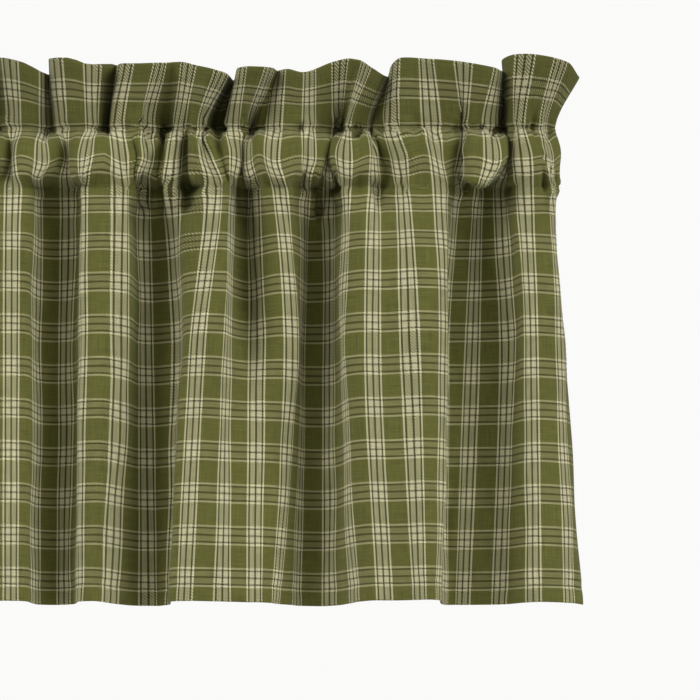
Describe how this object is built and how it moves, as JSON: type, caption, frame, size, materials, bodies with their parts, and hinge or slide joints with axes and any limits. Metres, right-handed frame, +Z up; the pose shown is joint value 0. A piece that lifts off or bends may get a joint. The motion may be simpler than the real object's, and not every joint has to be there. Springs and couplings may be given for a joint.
{
  "type": "window valance",
  "caption": "Gathered window valance of one plaid cloth, with a ruffled header above an open rod pocket and a short hemmed panel hanging in uneven folds.",
  "frame": {"origin": "middle of the rod pocket, halfway along the hung width", "axes": "+X along the rod pocket towards the right end as seen from the front, -Y towards the room, +Z up"},
  "size_m": [1.1201, 0.0593, 0.3549],
  "materials": {
    "cotton_plaid": "matt yarn-dyed cotton, olive green ground with cream and pale green bands",
    "sewing_thread": "olive green sewing thread of the pocket rows and hems, drawn only by the visual surface"
  },
  "bodies": {
    "root": {"cloth": "cotton_plaid"}
  },
  "joints": []
}
